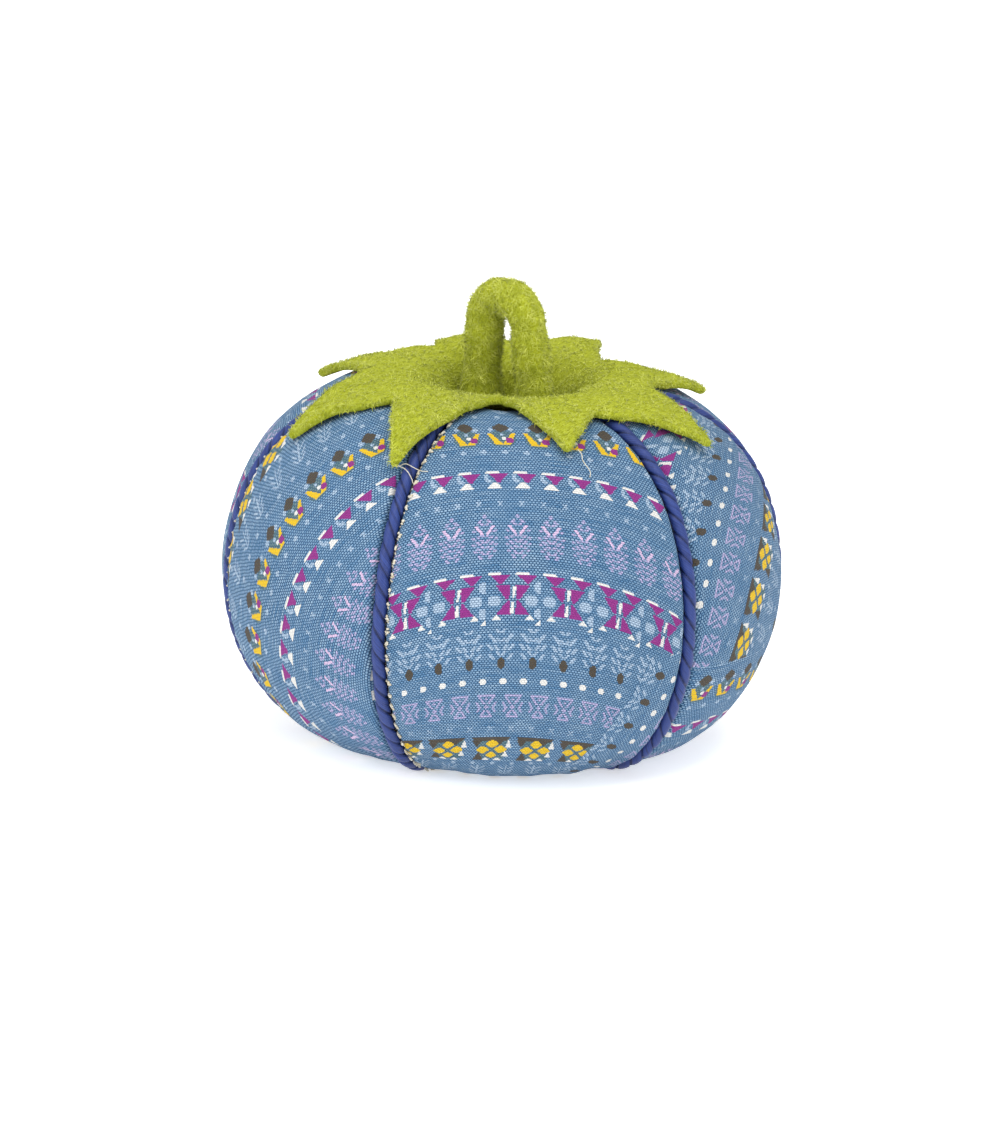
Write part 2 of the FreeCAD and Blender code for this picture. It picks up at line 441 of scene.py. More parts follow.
# ---- the printed rows ----
INKS = {
    "magenta": shade(158, 40, 138),
    "white": shade(250, 248, 242),
    "sky": shade(196, 218, 240),
    "yellow": shade(250, 206, 0),
    "brown": shade(84, 70, 44),
    "lavender": shade(204, 192, 234),
    "pink": shade(234, 204, 238),
    "olive": shade(84, 108, 62),
}


def block(ink, across, down, above, below, half, lean=0.0, pair=False):
    """Flat-topped triangle, bar or leaning stroke, with its twin beyond the middle if it is a pair."""
    return ink, "block", (across, down, above, below, half, lean), pair


def spot(ink, across, down, wide, high, power=2.0, pair=False):
    """Diamond, ellipse or soft square."""
    return ink, "round", (across, down, wide, high, power), pair


def strokes(ink, sizes):
    """Leaning strokes in pairs, each by its across, down, half width, half height and lean."""
    return [block(ink, across, down, thin, thin, half, lean, True)
            for across, down, thin, half, lean in sizes]


def cross(thin):
    """Two strokes that cross."""
    return [block("sky", 0, 0, thin, thin, 0.5, lean) for lean in (0.9, -0.9)]


PRINT_REPEAT = 67.0
PRINT_CELL = 0.2
INK_STRENGTH = (("lavender", 0.97), ("pink", 1.0), ("sky", 0.93), ("brown", 0.97), ("yellow", 1.0),
                ("magenta", 0.97), ("white", 1.0))
CREAM_DOTS = (1.9, 3.39, 0.6, [spot("white", 0, 0, 0.55, 0.5, 2.5)])
HOURGLASSES = (6.5, 4.49, 0.1, [
    block("lavender", 0, -2.0, 1.5, 1.4, 0.2),
    spot("lavender", 0, -1.35, 0.3, 0.3, 1),
    spot("lavender", 0, 0.1, 0.5, 0.45, 1),
    *strokes("lavender", ((0.8, -1.2, 0.22, 0.75, -0.65), (1.35, -0.25, 0.2, 0.55, -0.5),
                          (1.35, 0.7, 0.2, 0.5, 0.5), (0.55, 1.3, 0.22, 0.65, 0.6))),
    block("lavender", 0, 2.0, 0.9, 1.1, 0.2),
])
SMALL_CROSSES = (10.9, 3.6, 2.9, cross(0.16))
CHEQUERED_BLOCKS = (15.2, 7.91, 0.6, [
    block("olive", 0, -0.1, 2.9, 2.3, 2.3),
    block("brown", -0.3, -2.1, 3.4, 2.6, 0.4),
    block("brown", -2.7, -1.3, 1.0, 0.1, 0.75),
    block("brown", 1.3, -1.45, 0.9, 0.0, 0.5),
    block("brown", -2.3, 1.7, 0.1, 0.95, 0.85),
    block("white", 2.9, -1.1, 0.1, 0.6, 0.8),
    block("white", 2.5, 1.0, 0.05, 0.6, 0.6),
    block("white", -0.9, 2.3, 0.1, 0.8, 0.35),
    block("white", 1.2, 2.3, 0.1, 0.8, 0.35),
    *(spot("yellow", across, down, 1.15, 0.85, 1.2)
      for across, down in ((0.0, -1.2), (1.6, 0.05), (-1.6, 0.15))),
    spot("yellow", 0.0, 1.35, 1.0, 0.75, 1.2),
])
UPPER_DOTS = (18.6, 3.6, 0.4, [spot("sky", 0, 0, 0.4, 0.4)])
SKY_FERNS = (20.9, 5.3, 1.2, [
    block("sky", 0, 0, 0.16, 0.16, 1.6),
    *strokes("sky", [(across, down, 0.16, 0.5, -1.0)
                     for across, down in ((0.75, -0.9), (0.95, 0.0), (0.75, 1.0))]),
])
LOWER_DOTS = (23.7, 3.6, 2.2, [spot("sky", 0, 0, 0.4, 0.4)])
TULIPS = (26.4, 5.69, 0.7, [
    spot("olive", 0, 2.3, 2.15, 1.7, 2.2),
    spot("brown", 0, 0, 1.35, 1.0, 1.3),
    spot("sky", 1.55, 0.4, 0.45, 0.35, 2, True),
    spot("sky", 0, 1.5, 0.3, 0.3),
    block("yellow", 1.25, 2.4, 0.32, 0.66, 1.25, -0.6, True),
    spot("magenta", 1.15, 2.7, 0.6, 0.5, 3),
    spot("white", 0.3, 2.3, 0.38, 0.32),
])
PLUS_ROW = (31.4, 3.37, 1.9, [
    block("sky", 0, 0, 0.17, 0.17, 0.5),
    block("sky", 0, 0, 0.5, 0.5, 0.15),
])
CAPPED_TRIANGLES = (36.2, 4.41, 2.4, [
    block("white", -0.85, -1.2, 0.95, 1.15, 0.26),
    block("magenta", 0.1, -0.2, 1.55, 0.15, 0.8),
    block("white", -0.6, 1.05, 0.2, 1.15, 0.5),
    spot("sky", -2.0, -0.3, 0.45, 0.6),
    spot("sky", -1.5, 0.3, 0.5, 0.3),
])
CROSS_ROW = (40.4, 3.38, 0.4, cross(0.15))
FEATHERS = (45.7, 5.22, 1.4, [
    spot("lavender", 0, -3.2, 0.36, 0.3, 1.5),
    *strokes("lavender", [(0.75, -2.4, 0.27, 0.3, 0.9)]),
    *strokes("pink", [(0.85, -1.0, 0.26, 0.6, -0.75)]),
    *strokes("lavender", [
        (across, down - 0.25 * across, 0.27, 0.25, -0.8)
        for across, down in ((0.35, -1.8), (1.7, -0.5), (0.35, 0.0), (1.05, 0.35), (1.8, 0.7), (0.35, 0.9),
                             (1.05, 1.3), (1.75, 1.7), (0.35, 1.8), (1.05, 2.2), (1.5, 2.7), (0.45, 2.7),
                             (0.8, 3.4))]),
])
CAPPED_PAIRS = (52.6, 4.32, 1.8, [
    block("white", -0.75, -1.0, 0.95, 1.1, 0.26),
    block("magenta", 0.1, -0.1, 1.6, 0.15, 0.7),
])
LATTICE = (55.7, 8.64, 3.9, [
    spot("sky", 4.3, -2.0, 0.95, 0.85, 3),
    spot("sky", 2.9, 0.1, 0.95, 0.8, 3, True),
    spot("sky", 4.3, 2.1, 0.95, 0.8, 3),
    block("magenta", 1.2, -1.2, 1.15, 0.25, 1.05, -0.3, True),
    block("magenta", 1.1, 1.2, 0.15, 1.15, 1.1, 0.35, True),
    block("white", 0.15, -1.3, 0.3, 0.16, 0.9, -0.15),
    block("white", -0.1, 1.2, 0.14, 0.34, 0.85, -0.1),
    block("white", 2.6, 2.7, 0.1, 0.7, 0.36, 0.0, True),
    block("white", 4.3, 3.5, 0.1, 0.8, 0.36),
])
SEEDED_FERNS = (63.2, 5.16, 3.7, [
    *strokes("sky", (
        (0.45, -2.7, 0.26, 0.35, -0.8), (1.3, -1.5, 0.32, 0.7, -0.75), (0.4, -1.3, 0.24, 0.35, -0.8),
        (1.7, -0.1, 0.3, 0.6, -0.75), (0.7, 0.0, 0.26, 0.45, -0.8), (1.4, 1.6, 0.28, 0.5, -0.75),
        (0.4, 1.0, 0.22, 0.35, -0.8))),
    spot("brown", 0, 2.6, 0.62, 0.95, 2.4),
])
PRINTED_ROWS = (
    CREAM_DOTS, HOURGLASSES, SMALL_CROSSES, CHEQUERED_BLOCKS, UPPER_DOTS, SKY_FERNS, LOWER_DOTS, TULIPS,
    PLUS_ROW, CAPPED_TRIANGLES, CROSS_ROW, FEATHERS, CAPPED_PAIRS, LATTICE, SEEDED_FERNS,
)


def make_printed_rows():
    """Ink colour and cover over print coordinates: each row repeats its stamps at its own pitch."""
    tree, given, result = new_group(
        "printed_rows", [("X", "number", 0.0), ("Y", "number", 0.0)],
        [("Ink", "colour"), ("Cover", "number"), ("Sheer", "number")])
    height = calc(tree, "FLOORED_MODULO", given["Y"], PRINT_REPEAT)
    masks = {}
    for centre, pitch, start, stamps in PRINTED_ROWS:
        moved = calc(tree, "ADD", given["X"], pitch / 2 - start)
        across = calc(tree, "SUBTRACT", calc(tree, "FLOORED_MODULO", moved, pitch), pitch / 2)
        folded = calc(tree, "ABSOLUTE", across)
        down = calc(tree, "SUBTRACT", height, centre)
        for ink, kind, sizes, pair in stamps:
            labels = (("Across", "Down", "Above", "Below", "Half", "Lean") if kind == "block"
                      else ("Across", "Down", "Wide", "High", "Power"))
            group = BLOCK_STAMP if kind == "block" else ROUND_STAMP
            inputs = {"X": folded if pair else across, "Y": down, **dict(zip(labels, sizes))}
            mask = use_group(tree, group, inputs)["Mask"]
            masks[ink] = calc(tree, "MAXIMUM", masks[ink], mask) if ink in masks else mask
    solid = masks["white"]
    for ink in ("magenta", "yellow", "brown", "pink"):
        solid = calc(tree, "MAXIMUM", solid, masks[ink])
    colour = INKS["olive"]
    cover = calc(tree, "MULTIPLY", masks["olive"], 0.6)
    for ink, strength in INK_STRENGTH:
        colour = mix_colour(tree, masks[ink], colour, INKS[ink])
        cover = mix_number(tree, masks[ink], cover, strength)
    feed(tree, result["Ink"], colour)
    feed(tree, result["Cover"], cover)
    feed(tree, result["Sheer"], calc(tree, "SUBTRACT", 1.0, solid))
    return tree


PRINTED_GROUP = make_printed_rows()


def make_cotton():
    """Printed cotton: a plain weave of threads in blue dye, with inks that sit on the threads and step with
    them, and painted shade in the gaps between the threads.
    """
    material, tree, shader = new_material("printed_cotton", Roughness=0.85, Sheen_Weight=0.03,
                                          Sheen_Roughness=0.5, Specular_IOR_Level=0.15)
    flat = []
    for name in ("print", "print_b"):
        parts = read_map(tree, name)
        flat.append([calc(tree, "MULTIPLY", parts[axis], MAP_SCALE) for axis in (0, 1)])
    second = calc(tree, "GREATER_THAN", read_value(tree, "patch"), 0.0)
    across, down = (mix_number(tree, second, flat[0][axis], flat[1][axis]) for axis in (0, 1))
    snapped = []
    for value in (across, down):
        cell = calc(tree, "ADD", calc(tree, "FLOOR", calc(tree, "DIVIDE", value, PRINT_CELL)), 0.5)
        snapped.append(calc(tree, "MULTIPLY", cell, PRINT_CELL))
    ink = use_group(tree, PRINTED_GROUP, {"X": snapped[0], "Y": snapped[1]})
    weave = use_group(tree, PLAIN_WEAVE, {"X": across, "Y": down})
    body = on_body(tree)
    cloud = noise(tree, body, 90.0, 3.0, 0.6)
    tone = remap(tree, weave["Thread"], 0.32, 0.68)
    weft = mix_colour(tree, tone, shade(102, 148, 188), shade(168, 200, 226))
    dye_and_gap_shade = mix_colour(tree, weave["Float"], shade(56, 102, 146), weft)
    # painted shade: the weave's gaps between the threads are darkened towards a dark blue
    dye_and_gap_shade = mix_colour(tree, calc(tree, "MULTIPLY", weave["Gap"], 0.94), dye_and_gap_shade, shade(22, 66, 108))
    dye_and_gap_shade = mix_colour(tree, remap(tree, cloud, 0.3, 0.7, 0.0, 0.3), dye_and_gap_shade, shade(82, 128, 170))
    thin = calc(tree, "MULTIPLY", ink["Sheer"], calc(tree, "MULTIPLY", weave["Gap"], 0.5))
    # the ink thins over the weave's gaps, so the painted gap shade shows through the ink too
    hollow_weight = calc(tree, "SUBTRACT", calc(tree, "MULTIPLY_ADD", weave["Gap"], -0.2, 1.0), thin)
    colour = mix_colour(tree, calc(tree, "MULTIPLY", ink["Cover"], hollow_weight), dye_and_gap_shade, ink["Ink"])
    feed(tree, shader.inputs["Base Color"], colour)
    feed(tree, shader.inputs["Roughness"], remap(tree, weave["Height"], 0.0, 1.0, 0.92, 0.74))
    fuzz = noise(tree, body, 2600.0, 2.0)
    height = calc(tree, "MULTIPLY_ADD", fuzz, 0.25, weave["Height"])
    bump(tree, shader, height, 0.14, 0.9)
    return material


def make_cord_material():
    """Twisted cord: smooth flat fibres that follow each ply, with painted shade in the valleys between plies.
    """
    material, tree, shader = new_material("twisted_cord", Roughness=0.46, Specular_IOR_Level=0.3,
                                          Sheen_Weight=0.03, Sheen_Roughness=0.4)
    strand = read_map(tree, "strand")
    turned = vector(tree, calc(tree, "MULTIPLY", strand[0], 34.0), calc(tree, "MULTIPLY", strand[1], 9.0))
    fibre = noise(tree, turned, 1.0, 3.0, 0.55)
    cloud = remap(tree, noise(tree, on_body(tree), 160.0), 0.35, 0.7, 0.0, 0.3)
    valley = calc(tree, "MULTIPLY", read_value(tree, "valley"), 0.95)
    colour = mix_colour(tree, remap(tree, fibre, 0.32, 0.68), shade(18, 36, 92), shade(58, 84, 164))
    colour = mix_colour(tree, cloud, colour, shade(44, 62, 134))
    # painted shade: darker blue in the valleys between the plies
    colour = mix_colour(tree, valley, colour, shade(14, 24, 62))
    feed(tree, shader.inputs["Base Color"], colour)
    feed(tree, shader.inputs["Roughness"], remap(tree, fibre, 0.3, 0.7, 0.36, 0.55))
    bump(tree, shader, fibre, 0.12, 0.5)
    return material


def make_felt():
    """Green wool felt: matted fibres, lighter where they stand up, with painted shade down in the calyx's
    funnel round the loop.
    """
    material, tree, shader = new_material("green_felt", Roughness=0.95, Specular_IOR_Level=0.08,
                                          Sheen_Weight=0.12, Sheen_Roughness=0.6,
                                          Sheen_Tint=shade(225, 228, 120))
    felt = use_group(tree, MATTED_FIBRE, {"Vector": on_body(tree), "Fineness": 1.0})
    colour = mix_colour(tree, felt["Fibre"], shade(136, 145, 4), shade(222, 230, 82))
    colour = mix_colour(tree, remap(tree, felt["Cloud"], 0.35, 0.7, 0.0, 0.4), colour, shade(184, 193, 40))
    # painted shade: darker green down in the calyx's funnel, from the weight the calyx writes
    funnel_shade = calc(tree, "MULTIPLY", read_value(tree, "funnel_shade"), 0.5)
    colour = mix_colour(tree, funnel_shade, colour, shade(106, 114, 14))
    feed(tree, shader.inputs["Base Color"], colour)
    bump(tree, shader, felt["Height"], 0.55, 0.9)
    return material


def make_fuzz_material():
    """Loose felt fibres that stand off the surface."""
    material, tree, shader = new_material("felt_fuzz", Roughness=0.9, Specular_IOR_Level=0.15,
                                          Sheen_Weight=0.2)
    clump = remap(tree, noise(tree, on_body(tree), 700.0), 0.35, 0.65)
    colour = mix_colour(tree, clump, shade(176, 186, 40), shade(226, 232, 104))
    feed(tree, shader.inputs["Base Color"], colour)
    return material


def make_sewing_material():
    """Cream sewing thread: a fine twist along it."""
    material, tree, shader = new_material("sewing_thread", Roughness=0.7, Sheen_Weight=0.3,
                                          Specular_IOR_Level=0.3)
    grain = noise(tree, on_body(tree), 2400.0, 2.0)
    colour = mix_colour(tree, remap(tree, grain, 0.35, 0.65), shade(214, 202, 172), shade(244, 240, 224))
    feed(tree, shader.inputs["Base Color"], colour)
    bump(tree, shader, grain, 0.06, 0.6)
    return material


def make_stuffing_material():
    """Teased wadding inside the panels."""
    material, tree, shader = new_material("stuffing", Roughness=0.97, Sheen_Weight=0.3)
    wadding = use_group(tree, MATTED_FIBRE, {"Vector": on_body(tree), "Fineness": 0.6})
    colour = mix_colour(tree, wadding["Fibre"], shade(206, 198, 174), shade(238, 234, 220))
    feed(tree, shader.inputs["Base Color"], colour)
    bump(tree, shader, wadding["Height"], 0.6, 0.7)
    return material


COTTON = make_cotton()
CORD = make_cord_material()
FELT = make_felt()
FUZZ = make_fuzz_material()
SEWING = make_sewing_material()
STUFFING = make_stuffing_material()


# ---- the padded panels ----

def next_cord(panel):
    """Azimuth of the cord that ends a panel, after the one that starts it."""
    following = (panel + 1) % 6
    return CORD_AZIMUTHS[following] + (360 if following == 0 else 0)


def seam_dip(distance):
    """How far the cotton goes in beside a seam: a tight gutter for the cord in a wider soft one."""
    return SEAM_DEPTH * np.exp(-(distance / 1.2) ** 2.6) + 0.2 * np.exp(-(distance / 3.5) ** 2)


SOLVED_SCALE = 10.0
SOLVED_FRAMES = 20
HELD_TOP = 9.0
HELD_BOTTOM = 12.0


def puff(columns_each, rows):
    """Lobes blown out by pressure: cloth held along the seams and round both hollows.

    It is solved at ten times its size. Returns the outward movement over rows along the outline and
    columns round it, as a share of the high lobes' own movement.
    """
    part = np.arange(columns_each) / columns_each
    azimuth = np.concatenate([
        start + part * (next_cord(panel) - start) for panel, start in enumerate(CORD_AZIMUTHS)])
    columns = len(azimuth)
    along = np.linspace(0, FULL_LENGTH, rows)
    radius, height = on_outline(along, -1.0)
    points = place(azimuth[None, :], radius[:, None], height[:, None]).reshape(-1, 3)
    poles = np.array([[0, 0, height[0]], [0, 0, height[-1]]])
    obj = new_mesh("puffed_cotton", np.concatenate([points, poles]) * SOLVED_SCALE,
                   poled_faces(rows, columns))
    held = np.zeros((rows, columns), dtype=bool)
    held[:, ::columns_each] = True
    held[along < HELD_TOP] = True
    held[along > FULL_LENGTH - HELD_BOTTOM] = True
    group = obj.vertex_groups.new(name="held")
    group.add(np.flatnonzero(held.ravel()).tolist() + [rows * columns, rows * columns + 1], 1.0, "REPLACE")
    cloth = obj.modifiers.new("air", "CLOTH")
    settings = cloth.settings
    settings.use_pressure = True
    settings.uniform_pressure_force = 4.0
    settings.effector_weights.gravity = 0.0
    settings.vertex_group_mass = "held"
    settings.quality = 4
    settings.tension_stiffness = settings.compression_stiffness = 12
    settings.bending_stiffness = 0.3
    settings.shrink_min = -0.02
    cloth.collision_settings.use_collision = False
    cloth.point_cache.frame_start = 1
    cloth.point_cache.frame_end = SOLVED_FRAMES
    scene = bpy.context.scene
    for number in range(1, SOLVED_FRAMES + 1):
        scene.frame_set(number)
    solved = obj.evaluated_get(bpy.context.evaluated_depsgraph_get()).to_mesh()
    moved = np.empty(len(solved.vertices) * 3)
    solved.vertices.foreach_get("co", moved)
    scene.frame_set(1)
    bpy.data.objects.remove(obj)
    moved = moved.reshape(-1, 3)[:rows * columns] / SOLVED_SCALE / MILLIMETRE
    normal_r, normal_z = (np.interp(along, TABLE[:, 0], TABLE[:, column]) for column in (3, 4))
    normal = place(azimuth[None, :], normal_r[:, None], normal_z[:, None]).reshape(-1, 3)
    outward = ((moved - points) * normal).sum(axis=1).reshape(rows, columns)
    high = np.percentile(outward[rows // 4:rows * 3 // 4], 90)
    return np.clip(outward / high, -0.2, 1.3)


PUFF_COLUMNS = 20
PUFF_ROWS = 88
PUFFED = puff(PUFF_COLUMNS, PUFF_ROWS)


def puffed_at(panel, part, along):
    """Outward movement at parts across a panel and lengths along it, between the cloth's own points."""
    columns = (np.arange(PUFF_COLUMNS + 1) + panel * PUFF_COLUMNS) % (6 * PUFF_COLUMNS)
    own = PUFFED[:, columns]
    place_across = part * PUFF_COLUMNS
    low = np.minimum(place_across.astype(int), PUFF_COLUMNS - 1)
    across = own[:, low] * (1 - (place_across - low)) + own[:, low + 1] * (place_across - low)
    place_along = along / FULL_LENGTH * (PUFF_ROWS - 1)
    row = np.minimum(place_along.astype(int), PUFF_ROWS - 2)
    rest = (place_along - row)[:, None]
    return across[row] * (1 - rest) + across[row + 1] * rest


def print_maps(panel, x, s):
    """Two sets of print coordinates and the distance into the second one's patch, all in millimetres.

    x is the distance from the panel's middle line, towards the right, and s the length along the outline.
    Each panel was cut with the print lying its own way, and the rows bow because the panel is stretched.
    """
    low = s - 60
    none = np.full_like(s, -9.0)
    if panel == 0:
        down = (32.34 + 0.846 * x + 0.265 * low - 0.00369 * low ** 2 + 0.00327 * x * low
                + 0.00054 * x ** 2 - 0.0000813 * low ** 3 - 0.000139 * x * low ** 2)
        across = -0.9 * low + x * (0.30 - 0.009 * low) + 3.9
        return (across, down), (across, down), none
    if panel == 1:
        bowed = s - 0.082 * x - 0.0116 * x ** 2
        down = (bowed + 2.5 + 0.009 * np.maximum(36 - bowed, 0) ** 2
                - 0.006 * np.maximum(bowed - 70, 0) ** 2)
        across = x * (1 + 0.006 * np.maximum(s - 55.5, 0))
        turned_down = 65.8 + 0.885 * (x - 20.5) + 0.465 * (s - 66.8)
        turned_across = 0.465 * (x - 20.5) - 0.885 * (s - 66.8) + 3.7
        return (across, down), (turned_across, turned_down), np.minimum(turned_down - 62.6, s - 63.5)
    if panel == 2:
        down = (84.74 + 0.657 * x + 0.448 * low - 0.01165 * low ** 2 + 0.00886 * x * low - 0.00907 * x ** 2)
        across = -0.95 * low + 0.5 * x + 0.008 * x ** 2
        lower_down = 26.6 + 0.98 * (s - 69.3) - 0.07 * (x + 20.8)
        return (across, down), (x * 0.84 + 1.3, lower_down), s - 66.6 - 0.07 * (x + 20)
    if panel == 3:
        return (x * 0.96, s + 22 + 0.1 * x - 0.01 * x ** 2), (x, s), none
    if panel == 4:
        return (-0.95 * low + 0.2 * x, 38 + 0.92 * x + 0.1 * low - 0.005 * low ** 2), (x, s), none
    return (x, s + 7.2 - 0.006 * (x - 12) ** 2), (x, s), none


def panel_offset(panel, part, along, distance_left, distance_right):
    """Offset from the outline over a panel: the puffed lobe, the seams' gutters, puckers and lumps."""
    lobe = 0.6 * puffed_at(panel, part, along) - 0.3
    gutter = seam_dip(distance_left) + seam_dip(distance_right)
    stitch = along * TURN / STITCH_PITCH
    near_left = np.exp(-((distance_left - 2.3) / 1.0) ** 2)
    near_right = np.exp(-((distance_right - 2.3) / 1.0) ** 2)
    wander = np.sin(along * 0.31 + panel) * 1.3
    pucker = 0.10 * np.cos(stitch + wander)[:, None] * near_left
    pucker = pucker + 0.06 * np.cos(stitch * 0.5 + wander + 2)[:, None] * near_right
    azimuth = np.radians(part * 60 + panel * 60)
    lumps = 0.10 * np.sin(along * 0.21 + panel * 2.1)[:, None] * np.sin(azimuth * 9 + 1.3 * panel)[None, :]
    lumps = lumps + 0.05 * np.sin(along * 0.53 + 1 + panel)[:, None] * np.sin(azimuth * 17 + 0.7)[None, :]
    gather = smooth(FULL_LENGTH - 34, FULL_LENGTH - 14, along)[:, None]
    folds = 0.30 * gather * np.cos(part * TURN * 5 + 0.6 * np.sin(along * 0.2)[:, None] + panel)
    edge = 1 - np.exp(-(np.minimum(distance_left, distance_right) / 2.5) ** 2)
    return lobe - gutter + pucker + (lumps + folds) * edge


def make_panel(panel):
    """Padded cotton panel: outer face, inner face a panel's depth under it, and closed edges."""
    rows, columns = 190, 79
    along = np.linspace(0, FULL_LENGTH, rows)
    even = np.linspace(0, 1, columns)
    part = 0.25 * even + 0.75 * (0.5 - 0.5 * np.cos(math.pi * even))
    start, end = CORD_AZIMUTHS[panel], next_cord(panel)
    azimuth = start + part * (end - start)
    radius = on_outline(along)[0]
    width = radius * math.radians(end - start)
    left = part[None, :] * width[:, None]
    right = width[:, None] - left
    offset = panel_offset(panel, part, along, left, right)
    outer_r, outer_z = on_outline(along[:, None], offset)
    outer = place(azimuth[None, :], outer_r, np.maximum(outer_z, 0))
    inner_r, inner_z = on_outline(along[:, None], np.full_like(offset, -PANEL_DEPTH))
    inner = place(azimuth[None, :], inner_r, inner_z)
    count = rows * columns
    numbers = np.arange(count).reshape(rows, columns)
    rim = np.concatenate([numbers[0, :], numbers[1:, -1], numbers[-1, -2::-1], numbers[-2:0:-1, 0]])
    after = np.roll(rim, -1)
    wall = np.stack([rim, after, after + count, rim + count], axis=1)
    obj = new_mesh(f"cotton_panel_{panel + 1}_padded", np.stack([outer, inner]),
                   [grid_faces(rows, columns), grid_faces(rows, columns, first=count)[:, ::-1], wall])
    x = left - width[:, None] / 2
    s = np.broadcast_to(along[:, None], x.shape)
    first_map, second_map, patch = print_maps(panel, x, s)
    for name, flat in (("print", first_map), ("print_b", second_map)):
        pair = np.stack(flat, axis=-1) / MAP_SCALE
        write_map(obj, name, np.stack([pair, pair]))
    write_value(obj, "patch", np.stack([patch, patch]))
    obj.data.materials.append(COTTON)
    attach(obj, "cushion")
    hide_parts(f"cotton_panel_{panel + 1}")
    return obj


def make_cord(number):
    """Two plies twisted to the left: radius 1.1 less a valley at each ply boundary, which turns along it."""
    azimuth = CORD_AZIMUTHS[number]
    rows, sides = 420, 26
    along = np.linspace(1.0, FULL_LENGTH, rows)
    around = np.arange(sides) / sides * TURN
    twist = along / CORD_PITCH * TURN + 0.9 * number + 0.25 * np.sin(along * 0.35 + number)
    from_valley = (around[None, :] - twist[:, None]) % math.pi
    from_valley = np.minimum(from_valley, math.pi - from_valley)
    valley = np.exp(-(from_valley / 0.24) ** 2)
    crown = np.sin(from_valley) ** 0.6
    taper = smooth(0, 1.5, along - along[0])[:, None] * 0.3 + 0.7
    reach = (CORD_RADIUS * (0.86 + 0.14 * crown) - 0.30 * valley) * taper
    out = reach * np.cos(around)[None, :]
    side = reach * np.sin(around)[None, :]
    wobble = 0.12 * np.sin(along * 0.11 + 2 * number) + 0.06 * np.sin(along * 0.47 + number)
    radius, height = on_outline(along[:, None], out - CORD_RADIUS + 0.5)
    points = place(azimuth, radius, np.maximum(height, 0))
    points = points + (side + wobble[:, None])[..., None] * level_axis(azimuth)
    obj = new_mesh(f"groove_cord_{number + 1}_twisted", points, tube_faces(rows, sides))
    strand = (around[None, :] - twist[:, None]) / math.pi
    length = np.broadcast_to(along[:, None] / MAP_SCALE, strand.shape)
    write_map(obj, "strand", np.stack([np.abs((strand + 0.5) % 2 - 1), length], axis=-1))
    # the valley mask, also read by the cord's material for its painted shade in the valleys
    write_value(obj, "valley", valley)
    obj.data.materials.append(CORD)
    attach(obj, "cushion")
    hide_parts(f"groove_cord_{number + 1}")


panels = [make_panel(panel) for panel in range(6)]
for cord_number in range(6):
    make_cord(cord_number)


def tube_points(centres, radii, sides):
    """Rings of points round a path, square to it, measured from Z or, where the path is steep, from X."""
    forward = np.gradient(centres, axis=0)
    forward /= np.linalg.norm(forward, axis=1, keepdims=True)
    guide = np.where(np.abs(forward[:, 2:3]) > 0.9, [[1.0, 0, 0]], [[0, 0, 1.0]])
    side = np.cross(forward, guide)
    side /= np.linalg.norm(side, axis=1, keepdims=True)
    up = np.cross(side, forward)
    turn = np.arange(sides) / sides * TURN
    ring = np.cos(turn)[None, :, None] * side[:, None, :] + np.sin(turn)[None, :, None] * up[:, None, :]
    return centres[:, None, :] + ring * np.asarray(radii)[:, None, None]


def seam_thread_points(number):
    """Whip stitches over the seam: across under the cord and up beside it, then back inside the panels."""
    azimuth = CORD_AZIMUTHS[number]
    seen = {1: 2.0}.get(number, 1.3)
    steps = 16
    along = np.arange(FIRST_STITCH, FULL_LENGTH - 4, STITCH_PITCH / steps)
    phase = (along / STITCH_PITCH) % 1
    over = phase < 0.6
    part = np.where(over, phase / 0.6, (phase - 0.6) / 0.4)
    drift = 0.22 * np.sin(along * 1.7 + number) + 0.15 * np.sin(along * 4.1)
    lateral = np.where(over, -1.3 + (seen + 1.3) * part, seen - (seen + 1.3) * part)
    lateral = lateral + drift * smooth(0.5, 1.5, lateral)
    surface = -seam_dip(np.abs(lateral)) - 0.25
    rise = np.where(over, 0.14 + 0.10 * np.sin(part * math.pi), -0.55 * np.sin(part * math.pi))
    inside = np.maximum(surface + rise, -2.75)
    beside = np.abs(lateral) < 1.05
    inside = np.where(beside & over, np.minimum(inside, -2.42), inside)
    radius, height = on_outline(along, inside)
    centres = place(azimuth, radius, np.maximum(height, THREAD_FLOOR))
    centres = centres + lateral[:, None] * level_axis(azimuth)
    thick = 0.2 * (1 + 0.15 * np.sin(along * 13))
    return tube_points(centres, thick, 6)


